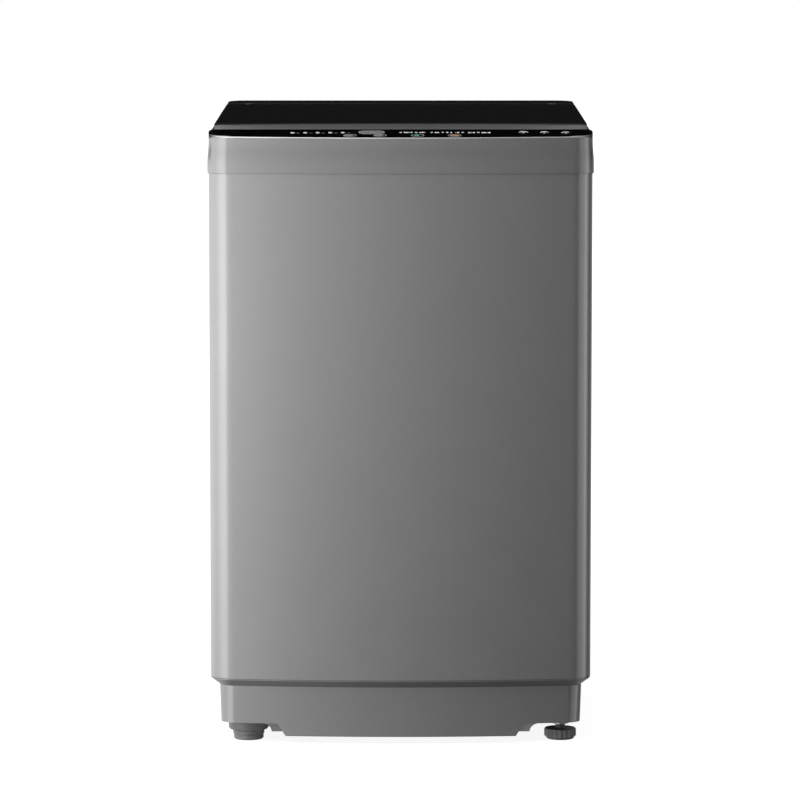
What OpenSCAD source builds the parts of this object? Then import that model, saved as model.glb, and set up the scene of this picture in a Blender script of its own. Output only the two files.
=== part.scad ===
// Top load pulsator washing machine: cabinet, base, top frame, hung tub, basket, belt drive, lid and controls.
// Millimetres, +Z up, front towards -Y, origin on the floor under the middle of the body.

/* [Body] */
// Width over the lower lip of the top frame
body_w = 550; // [546:1:556]
// Depth over the lower lip of the top frame
body_d = 560; // [556:1:564]
// Height of the rear edge of the top
body_h = 914; // [912:1:920]
// Radius of the gentle outward bow of the front
bow_r = 1725; // [1500:25:2200]
// Height of the bottom of the steel cabinet
cabinet_z0 = 94; // [92:1:98]
// Height of the lower lip of the top frame
frame_z0 = 816; // [814:1:820]

/* [Lid] */
// Slope of the lid and rear deck, in degrees
lid_slope = 3.3; // [3:0.1:3.6]
// Thickness of the closed lid
lid_t = 12; // [12:0.5:13]
// Place of the hinge axis behind the middle of the body
hinge_y = 201; // [199:1:202]

/* [Control panel] */
// Height of the front edge of the panel surface
panel_front_z = 867.4; // [866:0.2:868]
// Height of the rear edge of the panel surface
panel_rear_z = 878.3; // [877:0.2:879]
// Travel of a push key
key_travel = 1.2; // [0.8:0.1:1.2]

/* [Tub and basket] */
// Outer radius of the water tub
tub_r = 243; // [240:1:244]
// Outer radius of the wash basket wall
basket_r = 223.5; // [222:0.5:224]
// Radius of the pulsator
pulsator_r = 174; // [168:1:174]
// Thickness of the basket wall
wall_t = 0.6; // [0.5:0.1:1]

/* [Hidden] */

$fn = 64;
eps = 0.01;

// Body outline
half_w = body_w / 2;
front_y = -body_d / 2;
back_y = body_d / 2;
lip_step = 2;                      // the lower lip of the top frame stands this much proud
cab_w = body_w - 2 * lip_step;
cab_front = front_y + lip_step;
cab_back = back_y - 3;
cab_t = 0.7;                       // sheet steel
cab_rf = 32;                       // vertical corner radii, front and back
cab_rb = 12;
cab_z1 = frame_z0 + 16;
base_w = body_w - 30;
base_front = front_y + 14;
base_back = back_y - 14;
base_rf = 24;
base_rb = 14;
base_t = 3.5;
base_top = cabinet_z0 - 11;        // where the base flares out to carry the cabinet
base_low = 29;                     // underside of the base at its corners
base_lip_low = 11;                 // underside of the lower lip in the middle of the front

// Top frame
frame_t = 3;
ledge_t = 4;
deck_back = back_y - 8;            // rear edge of the rear deck
panel_back = -229.5;               // rear edge of the control panel
panel_lip = 4;                     // grey lip in front of the black panel
panel_t = 3;
seat_t = 3.5;                      // depth of the panel's seat below its surface
mouth_x = 190;
mouth_y0 = -190;
mouth_y1 = 150;
mouth_r = 110;
collar_t = 2.5;
collar_z0 = 800;

// Lid, in the frame of its hinge: origin on the axis, u backwards, v up from the lid's middle
lid_half = 265.5;
lid_r = lid_t / 2;
hinge_z = body_h - (deck_back - hinge_y) * tan(lid_slope) - lid_r / cos(lid_slope);
lid_front_u = -427;
glass_front_u = -397;
glass_t = 4;
deck_v = -lid_r - 2;               // the deck under the lid
ear_x = [226, 238];                // the hinge ears stand between these
pin_r = 3;

// Suspension
rod_xy = 203;
rod_r = 4;
bracket_z = 800;
cap_z = 250;
cup_top_z = 330;

// Axial stack of the drive
tub_bottom_z = 192;
tub_top_z = 779;
tub_t = 3;
support_z = 174;
spin_r = 14;
wash_r = 8;
input_r = 7;
pulley_z = 62;
pulley_h = 16;
pulley_r = 78;
motor_pulley_r = 24;
motor_xy = [-118, 117];
groove_d = 10;
valve_x = 165;
rod_x = 130;                       // line of the pull rod
rod_z = 149;
lever_pivot = [66, -50];
lever_z = 102;

// Feet
fixed_feet = [[-219, 208], [219, 208]];
front_left_xy = [-219.5, -208];
level_xy = [230.5, -208];
stud_r = 7;

// Push keys: x, y of the centre
key_r = 7.5;
power_xy = [234, -246];
start_xy = [204, -246];
program_xy = [174, -246];
key_places = [power_xy, start_xy, program_xy];
display_xy = [-41, -246];
lens_xs = concat([for (i = [0:4]) -154 + 17.8 * i], [for (i = [0:5]) 0 + 22 * i]);
lens_y = -246;

// ---------- outlines and small shapes ----------

function arc_points(cx, cy, r, a0, a1, n) =
    [for (i = [0:n]) let (a = a0 + (a1 - a0) * i / n) [cx + r * sin(a), cy - r * cos(a)]];

// Centre of a front corner's arc, for a body of width w with its bowed front at yf
function corner_x(w, rf) = w / 2 - rf;
function corner_y(w, yf, rf, r) = yf + r - sqrt(pow(r - rf, 2) - pow(corner_x(w, rf), 2));
function corner_a(w, rf, r) = asin(corner_x(w, rf) / (r - rf));

// The bowed front with its two round corners, from left to right, without its outermost points
function front_run(w, yf, rf, r = bow_r, skip = 0) =
    let (cx = corner_x(w, rf), cy = corner_y(w, yf, rf, r), t = corner_a(w, rf, r),
         right = arc_points(cx, cy, rf, t, 90, 10), left = arc_points(-cx, cy, rf, -90, -t, 10),
         bow = arc_points(0, yf + r, r, -t, t, 32))
    concat([for (i = [skip:9]) left[i]], bow, [for (i = [1:10 - skip]) right[i]]);

// Closed plan outline, with every edge moved in by inset
function plan(w, yf, yb, rf, rb, inset = 0) =
    let (bx = w / 2 - rb, by = yb - rb, r = rb - inset)
    concat(front_run(w - 2 * inset, yf + inset, rf - inset, bow_r - inset),
           arc_points(bx, by, r, 90, 180, 6), arc_points(-bx, by, r, 180, 270, 6));

function round_rect(x0, x1, y0, y1, r, n = 16) =
    concat(arc_points(x1 - r, y0 + r, r, 0, 90, n), arc_points(x1 - r, y1 - r, r, 90, 180, n),
           arc_points(x0 + r, y1 - r, r, 180, 270, n), arc_points(x0 + r, y0 + r, r, 270, 360, n));

module prism(points, z0, z1) {
    translate([0, 0, z0]) linear_extrude(z1 - z0) polygon(points);
}

module box(lo, hi) {
    translate(lo) cube(hi - lo);
}

module ring(r_out, r_in, z0, z1) {
    difference() {
        translate([0, 0, z0]) cylinder(r = r_out, h = z1 - z0);
        translate([0, 0, z0 - 1]) cylinder(r = r_in, h = z1 - z0 + 2);
    }
}

// A slab whose section in Y and Z is given, running across the body
module across(points, x0, x1) {
    translate([x0, 0, 0]) rotate([90, 0, 90]) linear_extrude(x1 - x0) polygon(points);
}

module rod_along_y(x, z, r, y0, y1) {
    translate([x, y0, z]) rotate([-90, 0, 0]) cylinder(r = r, h = y1 - y0);
}

module rod_along_x(y, z, r, x0, x1) {
    translate([x0, y, z]) rotate([0, 90, 0]) cylinder(r = r, h = x1 - x0);
}

module four_corners() {
    for (a = [45:90:315]) rotate([0, 0, a]) children();
}

module hinge_frame() {
    translate([0, hinge_y, hinge_z]) rotate([lid_slope, 0, 0]) children();
}

// Skin over sections of equal length, with both ends closed
module loft(sections) {
    n = len(sections[0]);
    last = len(sections) - 1;
    points = [for (s = sections) each s];
    sides = [for (i = [0:last - 1], j = [0:n - 1])
        let (k = (j + 1) % n, a = i * n + j, b = i * n + k, c = a + n, d = b + n)
        each [[a, b, c], [b, d, c]]];
    polyhedron(points, concat(sides, [[for (j = [n - 1:-1:0]) j]], [[for (j = [0:n - 1]) last * n + j]]));
}

// Walls through a stack of outlines; each level is [height, inset]
module wall_stack(w, yf, yb, rf, rb, levels) {
    loft([for (i = [len(levels) - 1:-1:0]) let (v = levels[i])
        [for (p = plan(w, yf, yb, rf, rb, v[1])) [p[0], p[1], v[0]]]]);
}

// ---------- the sloping surface of the control panel ----------

frame_front = front_run(cab_w, cab_front, cab_rf, bow_r, 1);

function frame_front_y(x) = cab_front + bow_r - sqrt(bow_r * bow_r - x * x);
function panel_edge_z(x) = panel_front_z + pow(x / 229, 2);
function panel_slope(x, yf) = (panel_rear_z - panel_edge_z(x)) / (panel_back - yf);
function panel_z(x, y, yf) = panel_edge_z(x) + (y - yf) * panel_slope(x, yf);
function lip_of(yf) = min(panel_lip, 0.4 * (panel_back - yf));
// The panel and its lip round down at their two ends
function end_drop(x) = 2.2 * pow(max(0, (abs(x) - 267) / 5.7), 2);

// Children stand on the panel surface at p, with +Z square to it
module on_panel(p) {
    yf = frame_front_y(p[0]);
    translate([p[0], p[1], panel_z(p[0], p[1], yf)]) rotate([atan(panel_slope(p[0], yf)), 0, 0]) children();
}

module stadium(w, d, z0, z1) {
    for (s = [-1, 1]) translate([s * (w - d) / 2, 0, z0]) cylinder(d = d, h = z1 - z0);
    translate([-(w - d) / 2, -d / 2, z0]) cube([w - d, d, z1 - z0]);
}

// ---------- cabinet and base ----------

module cabinet_plan(inset = 0, z0 = cabinet_z0, z1 = cab_z1) {
    prism(plan(cab_w, cab_front, cab_back, cab_rf, cab_rb, inset), z0, z1);
}

module rear_screw_places() {
    for (x = [-218, 218], z = [120, 340, 560, 780]) translate([x, 0, z]) children();
}

module cabinet_shell() {
    window_x = 206;
    hem = 10;
    color("dimgray") difference() {
        cabinet_plan();
        cabinet_plan(cab_t, cabinet_z0 + cab_t, cab_z1 + 1);
        cabinet_plan(hem, cabinet_z0 - 1, cabinet_z0 + cab_t + 1);
        box([-window_x, cab_back - 30, cabinet_z0 + 8], [window_x, cab_back + 5, cab_z1 + 1]);
        rear_screw_places() rod_along_y(0, 0, 2.1, cab_back - 5, cab_back + 5);
    }
}

module rear_panel() {
    panel_x = 230;
    rib_xs = [-120, 0, 120];
    color("gainsboro") difference() {
        union() {
            box([-panel_x, cab_back, cabinet_z0 + 4], [panel_x, cab_back + cab_t, frame_z0 - 1]);
            for (x = rib_xs) box([x - 35, cab_back, 200], [x + 35, cab_back + 2, 700]);
            rod_along_y(-180, 760, 16, cab_back, cab_back + 1.6);
        }
        for (x = rib_xs) box([x - 34, cab_back - 1, 201], [x + 34, cab_back + 2 - cab_t, 699]);
        rear_screw_places() rod_along_y(0, 0, 2.1, cab_back - 5, cab_back + 5);
        rod_along_y(-180, 760, 9, cab_back - 5, cab_back + 5);
    }
}

module cabinet_screws() {
    color("silver") rear_screw_places() {
        rod_along_y(0, 0, 4.5, cab_back + cab_t, cab_back + 2.4);
        rod_along_y(0, 0, 2, cab_back - 4, cab_back + cab_t);
    }
}

module cord_gland() {
    color("black") difference() {
        union() {
            rod_along_y(-180, 760, 8.95, cab_back - 11, cab_back + 1.6);
            rod_along_y(-180, 760, 12, cab_back + 1.6, cab_back + 3);
            rod_along_y(-180, 760, 10.5, cab_back - 4, cab_back - 0.1);
        }
        rod_along_y(-180, 760, 3.7, cab_back - 20, cab_back + 20);
    }
}

module base_plan(inset, z0, z1) {
    prism(plan(base_w, base_front, base_back, base_rf, base_rb, inset), z0, z1);
}

module foot_boss(xy, r, z0) {
    z1 = 62;
    sx = xy[0] > 0 ? 1 : -1;
    sy = xy[1] > 0 ? 1 : -1;
    translate([xy[0], xy[1], z0]) cylinder(r = r, h = z1 - z0);
    intersection() {
        base_plan(3, 31, 57);      // the ribs end inside the wall
        union() {
            translate([xy[0] + sx * 30, xy[1], 45]) cube([60, 5, 50], center = true);
            translate([xy[0], xy[1] + sy * 30, 45]) cube([5, 60, 50], center = true);
        }
    }
}

base_draft = 2;                    // the base narrows by this much each side towards the floor

// Levels of the base's outside: [height, inset, 1 on the cabinet's outline or 0 on the base's]
base_levels = [[base_lip_low, base_draft + 1, 0], [base_lip_low + 1, base_draft, 0], [base_low, base_draft - 0.2, 0],
    [70, 0.4, 0], [base_top - 2, 0, 0], [base_top, 0, 0], [cabinet_z0 - 1, 0.5, 1], [cabinet_z0, 0.5, 1]];

function base_outline(v) = v[2] == 1 ? plan(cab_w, cab_front, cab_back, cab_rf, cab_rb, v[1])
    : plan(base_w, base_front, base_back, base_rf, base_rb, v[1]);

module base_frame() {
    rib_y = -251;
    inner = base_t;
    flange = 26;
    color("gray") difference() {
        union() {
            // walls, with the flare that carries the cabinet
            difference() {
                loft([for (i = [len(base_levels) - 1:-1:0]) let (v = base_levels[i])
                    [for (p = base_outline(v)) [p[0], p[1], v[0]]]]);
                prism(plan(base_w, base_front, base_back, base_rf, base_rb, inner + base_draft), 0, 100);
                // the lower lip stays only in the middle of the front
                translate([0, -100, 0]) rotate([90, 0, 0]) linear_extrude(200) polygon([[-300, 0], [-154, 0],
                    [-165, base_lip_low - 1], [-165, base_lip_low], [-176.5, base_low], [-300, base_low]]);
                translate([0, -100, 0]) rotate([90, 0, 0]) linear_extrude(200) polygon([[300, 0], [154, 0],
                    [165, base_lip_low - 1], [165, base_lip_low], [176.5, base_low], [300, base_low]]);
                box([-300, -101, 0], [300, 300, base_low]);
            }
            // inner flange
            difference() {
                base_plan(1, 56, 60);
                prism(plan(base_w - 2 * flange, base_front + flange, base_back - flange, 12, 8), 55, 61);
            }
            // cross rib behind the front, with its ends swept up
            intersection() {
                base_plan(1, 10, 57);
                translate([0, rib_y + 3, 0]) rotate([90, 0, 0]) linear_extrude(3) polygon(concat(
                    [[-200, 57]], [for (a = [0:15:90]) [-200 + 15 * sin(a), 17 + 12 * cos(a)]],
                    [for (a = [90:-15:0]) [200 - 15 * sin(a), 17 + 12 * cos(a)]], [[200, 57]]));
            }
            for (p = fixed_feet) foot_boss(p, 22, base_low);
            foot_boss(front_left_xy, 22, base_low);
            foot_boss(level_xy, 12, 22);
            // pad around the drain outlet
            rod_along_y(150, 60, 24, base_back - 8, base_back - 1);
        }
        for (p = fixed_feet) translate([p[0], p[1], 20]) cylinder(r = 5.2, h = 60);
        translate([front_left_xy[0], front_left_xy[1], 20]) cylinder(r = 5.2, h = 60);
        translate([level_xy[0], level_xy[1], 20]) cylinder(r = stud_r + 0.4, h = 60);
        rod_along_y(150, 60, 16.2, base_back - 40, base_back + 10);
        rod_along_y(150, 60, 22, base_back - 40, base_back - 8);
        rod_along_y(150, 60, 21, base_back - 5, base_back + 10);
    }
}

module fixed_foot(xy) {
    translate([xy[0], xy[1], 0]) {
        rotate_extrude() polygon([[0, 0], [20, 0], [21.5, 1.5], [21.5, 7], [22.5, 8], [22.5, 13], [27, 14.5],
            [29, 17], [29, base_low], [5, base_low], [5, 56], [0, 56]]);
    }
}

module front_left_foot() {
    color("dimgray") fixed_foot(front_left_xy);
}

module rear_feet() {
    color("dimgray") for (p = fixed_feet) fixed_foot(p);
}

module level_foot_pad() {
    color("black") translate([level_xy[0], level_xy[1], 0])
        rotate_extrude() polygon([[0, 0], [19, 0], [20, 1], [20, 2.5], [4, 2.5], [4, 9], [0, 9]]);
}

module level_foot_screw() {
    wheel_r = 23;
    lobes = 20;
    color("dimgray") translate([level_xy[0], level_xy[1], 0]) difference() {
        union() {
            translate([0, 0, 2.6]) cylinder(r1 = 21, r2 = 22, h = 1.4);
            translate([0, 0, 4]) cylinder(r = 22, h = 11);
            for (i = [0:lobes - 1]) rotate([0, 0, i * 360 / lobes])
                translate([wheel_r - 2.2, 0, 4]) cylinder(r = 2.2, h = 10);
            translate([0, 0, 15]) cylinder(r = stud_r, h = 43);
        }
        translate([0, 0, 2]) cylinder(r = 4.06, h = 8);
    }
}

module capacitor() {
    color("whitesmoke") {
        rod_along_x(-236, 80, 18, -120, -40);
        difference() {
            box([-110, -257, 60], [-50, -216, 82]);
            rod_along_x(-236, 80, 18, -130, -30);
        }
    }
}

// ---------- top frame, panel and controls ----------

module frame_plan(inset, z0, z1) {
    prism(plan(cab_w, cab_front, back_y - lip_step, cab_rf, cab_rb, inset), z0, z1);
}

function deck_z(y, v) = hinge_z + (y - hinge_y) * tan(lid_slope) + v / cos(lid_slope);

// Everything above the top frame: the recessed seat of the panel behind its lip, then the sloping deck
function sky_section(x, y, xs) = let (c = y + lip_of(y), d = end_drop(xs), e = panel_edge_z(xs) - d, far = back_y + 5,
    top = body_h + 40)
    [[x, y - 12, top], [x, far, top], [x, far, deck_z(far, deck_v)], [x, panel_back, deck_z(panel_back, deck_v)],
     [x, panel_back, panel_rear_z - seat_t], [x, c, panel_z(xs, c, y) - seat_t], [x, c, panel_z(xs, c, y) - d],
     [x, y + lip_of(y) * 0.6, panel_z(xs, y + lip_of(y) * 0.6, y) - d], [x, y + lip_of(y) * 0.26, e - 0.2],
     [x, y + lip_of(y) * 0.07, e - 0.9], [x, y, e - 1.9], [x, y - 12, e - 32]];

module sky() {
    n = len(frame_front) - 1;
    a = frame_front[0];
    b = frame_front[n];
    loft(concat([sky_section(a[0] - 10, a[1], a[0])], [for (p = frame_front) sky_section(p[0], p[1], p[0])],
        [sky_section(b[0] + 10, b[1], b[0])]));
}

module mouth(grow, z0, z1) {
    prism(round_rect(-mouth_x - grow, mouth_x + grow, mouth_y0 - grow, mouth_y1 + grow, mouth_r + grow), z0, z1);
}

drawer_half = 66;
pocket_x = [115, 185];
inlet_x = 150;
inlet_z = 868;

// The walls of the top frame lean in a little towards their top
frame_levels = [[frame_z0, 0.6], [frame_z0 + 1, 0], [frame_z0 + 15, 0], [frame_z0 + 23, 0.4], [frame_z0 + 32, 1.2],
    [frame_z0 + 41, 1.8], [frame_z0 + 50, lip_step], [body_h + 10, lip_step]];

module top_frame() {
    z1 = cab_z1 + ledge_t;
    cavity_side = [[cab_front + 2, z1], [cab_front + 2, 860.5], [-240, 868], [panel_back, 866.5],
        [back_y, deck_z(back_y, deck_v) - frame_t - 0.2], [back_y, z1]];
    color("gray") {
        difference() {
            union() {
                difference() {
                    wall_stack(body_w, front_y, back_y, cab_rf + lip_step, cab_rb + lip_step, frame_levels);
                    intersection() {
                        frame_plan(frame_t, z1, body_h);
                        across(cavity_side, -half_w, half_w);
                    }
                    prism(plan(cab_w, cab_front, cab_back + 1, cab_rf, cab_rb, -0.3), frame_z0 - 1, cab_z1);
                    frame_plan(frame_t + 7, cab_z1 - 1, z1 + 1);
                }
                // collar round the mouth, pan of the finger scoop, pocket round the water inlet
                mouth(collar_t, collar_z0, body_h + 10);
                hinge_frame() box([-83, -436, -25], [83, -399, deck_v + 9]);
                box([pocket_x[0], 256, 838], [pocket_x[1], cab_back, 894]);
            }
            sky();
            mouth(0, collar_z0 - 1, body_h + 20);
            hinge_frame() box([-80, -433, -22], [80, -402, deck_v + 20]);
            // opening under the panel for the keys and display
            intersection() {
                frame_plan(6, 850, 890);
                box([-176, -300, 850], [246, -234.4, 890]);
            }
            box([-drawer_half, mouth_y1 - 10, 836], [drawer_half, mouth_y1 + 6, 882]);
            box([pocket_x[0] + 3, 259, 841], [pocket_x[1] - 3, back_y + 1, 890]);
            rod_along_y(inlet_x, inlet_z, 14, 250, 262);
        }
        // hinge ears
        hinge_frame() difference() {
            for (s = [-1, 1]) translate([s > 0 ? ear_x[0] : -ear_x[1], 0, 0]) {
                rod_along_x(0, 0, lid_r, 0, 12);
                box([0, -lid_r, deck_v - 2], [12, lid_r, 0]);
            }
            rod_along_x(0, 0, pin_r, -245, 245);
        }
        // posts that carry the control board
        board_frame() for (x = [-181, 245]) translate([x, 4.5, 0]) cylinder(r = 3, h = 9);
    }
}

module rear_deck() {
    u1 = (deck_back - hinge_y) / cos(lid_slope);
    outline = concat([[-lid_half, 8], [lid_half, 8]], arc_points(lid_half - 15, u1 - 15, 15, 90, 180, 8),
        arc_points(15 - lid_half, u1 - 15, 15, 180, 270, 8));
    inner = concat([[3 - lid_half, 11], [lid_half - 3, 11]], arc_points(lid_half - 15, u1 - 15, 12, 90, 180, 8),
        arc_points(15 - lid_half, u1 - 15, 12, 180, 270, 8));
    color("black") hinge_frame() difference() {
        prism(outline, deck_v + 0.05, lid_r);
        prism(inner, deck_v - 1, lid_r - 3);
    }
}

module control_panel() {
    color("black") difference() {
        loft([for (p = frame_front) let (x = p[0], y = p[1], c = y + lip_of(y) + 0.2, d = end_drop(x))
            [[x, c, panel_z(x, c, y) - panel_t], [x, c, panel_z(x, c, y) - d],
             [x, panel_back, panel_rear_z - d], [x, panel_back, panel_rear_z - panel_t]]]);
        for (p = key_places) on_panel(p) translate([0, 0, -10]) cylinder(r = key_r + 0.3, h = 20);
        on_panel(display_xy) stadium(62.3, 20.3, -10, 10);
        for (x = lens_xs) on_panel([x, lens_y]) translate([0, 0, -10]) cylinder(r = 1.55, h = 20);
    }
}

module display_window() {
    color("darkslategray") on_panel(display_xy) {
        stadium(62, 20, -panel_t - 0.2, 0);
        stadium(65, 21, -panel_t - 1.6, -panel_t - 0.2);
    }
}

module indicator_lenses() {
    color("white") for (x = lens_xs) on_panel([x, lens_y]) translate([0, 0, -9]) cylinder(r = 1.5, h = 9.1);
}

module key(p) {
    on_panel(p) {
        translate([0, 0, -3.6]) cylinder(r = key_r, h = 4.4);
        translate([0, 0, -5.2]) cylinder(r = key_r + 1.2, h = 1.8);
        translate([0, 0, -8.5]) cylinder(r = 2.5, h = 3.4);
    }
}

module power_key() { color("silver") key(power_xy); }
module start_key() { color("silver") key(start_xy); }
module program_key() { color("silver") key(program_xy); }

module board_frame() {
    translate([0, -252, 857.4]) rotate([13, 0, 0]) children();
}

module control_board() {
    color("darkgreen") {
        board_frame() {
            box([-186, -4, -1.6], [250, 13, 0]);
            box([-74, -3, 0], [-8, 10, 7]);
            for (x = [30, 60, 90, 120]) box([x, -3, -7], [x + 16, 10, -1.6]);
            box([-130, -3, -14], [-96, 12, -1.6]);
        }
        for (p = key_places) on_panel(p) box([-3, -3, -15], [3, 3, -10]);
    }
}

module detergent_housing() {
    x = drawer_half + 2;
    color("whitesmoke") difference() {
        box([-x, mouth_y1 + collar_t, 834], [x, 252, 888]);
        box([2 - x, mouth_y1, 836], [x - 2, 250, 886]);
        box([-50, 160, 830], [50, 182, 840]);
        rod_along_x(228, 862, 6, 60, 90);
    }
}

module detergent_drawer() {
    x = drawer_half - 1.5;
    wall = 1.8;
    color("lightsteelblue") difference() {
        union() {
            box([-x, mouth_y1 - 2, 837.5], [x, 246, 880]);
            box([-x - 4, mouth_y1 - 4.2, 834.5], [x + 4, mouth_y1 - 0.2, 884]);
            box([-24, mouth_y1 - 12, 872], [24, mouth_y1 - 4, 876]);
        }
        box([wall - x, mouth_y1, 839.5], [-1, 244, 881]);
        box([1, mouth_y1, 839.5], [x - wall, 244, 881]);
        for (i = [-40, -20, 20, 40]) box([i - 6, 225, 830], [i + 6, 235, 845]);
    }
}

module inlet_valve() {
    color("white") {
        difference() {
            union() {
                rod_along_y(inlet_x, inlet_z, 12.6, 249, 261);
                rod_along_y(inlet_x, inlet_z, 13.2, 260, 278);
            }
            rod_along_y(inlet_x, inlet_z, 9, 256, 280);
        }
        rod_along_y(inlet_x, inlet_z, 17, 246, 250);
        box([inlet_x - 19, 208, inlet_z - 16], [inlet_x + 19, 246, inlet_z + 16]);
        translate([inlet_x, 227, inlet_z - 44]) cylinder(r = 14, h = 28);
        rod_along_x(228, 862, 6, inlet_x - 32, inlet_x - 19);
    }
}

module inlet_hose() {
    color("dimgray") rod_along_x(228, 862, 5.9, drawer_half + 0.2, inlet_x - 32);
}

module level_switch() {
    color("white") {
        translate([-150, 232, 862]) cylinder(r = 21, h = 18);
        translate([-150, 232, 850]) cylinder(r = 3.5, h = 12);
        box([-160, 227, 880], [-140, 237, deck_z(227, deck_v) - frame_t - 1]);
    }
}

module lid_switch() {
    color("white") hinge_frame() {
        box([214, -60, -26], [250, -42, -11.6]);
        box([224, -56, -32], [240, -46, -26]);
    }
}

module hinge_pins() {
    color("silver") hinge_frame() for (s = [-1, 1]) rod_along_x(0, 0, pin_r, s > 0 ? 208 : -256, s > 0 ? 256 : -208);
}

// ---------- lid ----------

module hinge_notches() {
    for (s = [-1, 1]) translate([s * 232, 0, 0]) box([-7.5, -lid_r - 2.5, -lid_r - 1], [7.5, lid_r + 1, lid_r + 1]);
}

module lid_frame() {
    window_x = 214;
    x = lid_half - 1;
    color("black") hinge_frame() difference() {
        union() {
            box([-x, glass_front_u, -lid_r], [x, -14, lid_r - glass_t]);
            box([-x, -14, -lid_r], [x, 0, lid_r]);
            rod_along_x(0, 0, lid_r, -x, x);
            for (sx = [-1, 1], u = [-380, -60]) translate([sx * 240, u, deck_v + 0.2]) cylinder(r = 6, h = 3);
        }
        box([-window_x, glass_front_u + 26, -lid_r - 1], [window_x, -42, lid_r - glass_t + 1]);
        hinge_notches();
        rod_along_x(0, 0, pin_r + 0.05, -300, 300);
    }
}

module lid_handle() {
    v_low = -1;
    color("gray") hinge_frame() difference() {
        across([[lid_front_u, -lid_r], [glass_front_u, -lid_r], [glass_front_u, lid_r], [lid_front_u, v_low]],
            -lid_half, lid_half);
        // hollow that the fingers pull on
        box([-78, lid_front_u + 4, -lid_r - 1], [78, glass_front_u - 6, -lid_r + 3]);
    }
}

module lid_glass() {
    color("black") hinge_frame()
        box([-lid_half, glass_front_u, lid_r - glass_t], [lid_half, -14, lid_r]);
}

// ---------- suspension ----------

module hanger_brackets() {
    color("silver") difference() {
        intersection() {
            cabinet_plan(cab_t, bracket_z, bracket_z + 3);
            four_corners() box([268, -120, bracket_z - 1], [400, 120, bracket_z + 4]);
        }
        four_corners() translate([rod_xy * sqrt(2), 0, bracket_z - 1]) cylinder(r = 6, h = 6);
    }
}

module suspension_rods() {
    color("silver") four_corners() translate([rod_xy * sqrt(2), 0, 0]) rotate_extrude() polygon([
        [0, 238], [7, 238], [7, 246], [20, 246], [20, cap_z], [rod_r, cap_z], [rod_r, bracket_z + 3],
        [12, bracket_z + 3], [12, bracket_z + 7], [8, bracket_z + 11], [0, bracket_z + 12]]);
}

module suspension_springs() {
    color("silver") four_corners() translate([rod_xy * sqrt(2), 0, 0]) ring(16.5, 14.5, cap_z, cup_top_z - 8);
}

module spring_cups() {
    color("dimgray") four_corners() translate([rod_xy * sqrt(2), 0, 0]) difference() {
        translate([0, 0, 290]) cylinder(r = 23, h = cup_top_z - 290);
        translate([0, 0, 289]) cylinder(r = 20.6, h = cup_top_z - 8 - 289);
        translate([0, 0, 289]) cylinder(r = 6, h = 60);
    }
}

// ---------- tub assembly ----------

module outer_tub() {
    lug_r = rod_xy * sqrt(2);
    color("white") difference() {
        union() {
            ring(tub_r, tub_r - tub_t, tub_bottom_z, tub_top_z);
            ring(tub_r - 1, 30, tub_bottom_z, tub_bottom_z + 4);
            ring(36, 30, tub_bottom_z, tub_bottom_z + 8);
            ring(106, 100, support_z + 3, tub_bottom_z + 1);
            four_corners() {
                translate([215, 0, support_z + 3]) cylinder(r = 12, h = 16);
                difference() {
                    union() {
                        box([tub_r - 2, -23, cup_top_z], [lug_r + 23, 23, cup_top_z + 8]);
                        for (s = [-20, 17]) box([tub_r - 2, s, cup_top_z + 6], [lug_r - 10, s + 3, cup_top_z + 60]);
                    }
                    translate([lug_r, 0, cup_top_z - 1]) cylinder(r = 7, h = 20);
                }
            }
            for (z = [420, 540, 660]) ring(tub_r + 3, tub_r - 1, z, z + 4);
            // air chamber of the level sensor
            box([-16, tub_r - 4, 230], [16, tub_r + 10, 300]);
            translate([valve_x, 0, 186]) cylinder(r = 22, h = 8);
        }
        translate([0, 0, 150]) cylinder(r = tub_r - tub_t, h = 0.001);
        translate([valve_x, 0, 180]) cylinder(r = 17, h = 30);
        four_corners() translate([215, 0, 170]) cylinder(r = 3.1, h = 18);
    }
}

module tub_cover() {
    color("whitesmoke") difference() {
        translate([0, 0, 756]) cylinder(r = tub_r + 3, h = 26);
        translate([0, 0, 755]) cylinder(r = tub_r + 0.2, h = 24);
        translate([0, 0, 755]) cylinder(r = 192, h = 40);
    }
    color("whitesmoke") ring(195, 192, 771, 782);
}

module tub_support() {
    color("silver") difference() {
        union() {
            translate([0, 0, support_z]) cylinder(r = 120, h = 3);
            four_corners() box([100, -26, support_z], [229, 26, support_z + 3]);
        }
        translate([0, 0, support_z - 1]) cylinder(r = 29.5, h = 5);
        four_corners() translate([215, 0, 170]) cylinder(r = 3.1, h = 18);
        for (a = [0:90:270]) rotate([0, 0, a]) translate([68, 0, 160]) cylinder(r = 3.1, h = 40);
    }
}

module clutch_housing() {
    color("darkgray") difference() {
        union() {
            translate([0, 0, 112]) cylinder(r = 58, h = 56);
            translate([0, 0, 166]) cylinder(r = 78, h = support_z - 166);
            translate([0, 0, support_z - 1]) cylinder(r = 29, h = 16);
            translate([0, 0, 98]) cylinder(r = 22, h = 15);
            box([34, lever_pivot[1] - 9, 112], [lever_pivot[0] + 9, lever_pivot[1] + 9, 118]);
            translate([lever_pivot[0], lever_pivot[1], 98]) cylinder(r = 4, h = 16);
        }
        translate([0, 0, 118]) cylinder(r = 26, h = 68);
        translate([0, 0, 90]) cylinder(r = input_r + 0.05, h = 40);
        translate([0, 0, 180]) cylinder(r = 15, h = 20);
        for (a = [0:90:270]) rotate([0, 0, a]) translate([68, 0, 160]) cylinder(r = 3.1, h = 40);
    }
}

module spin_bearings() {
    color("silver") for (z = [122, 172]) ring(25.95, spin_r + 0.05, z, z + 12);
}

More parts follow.
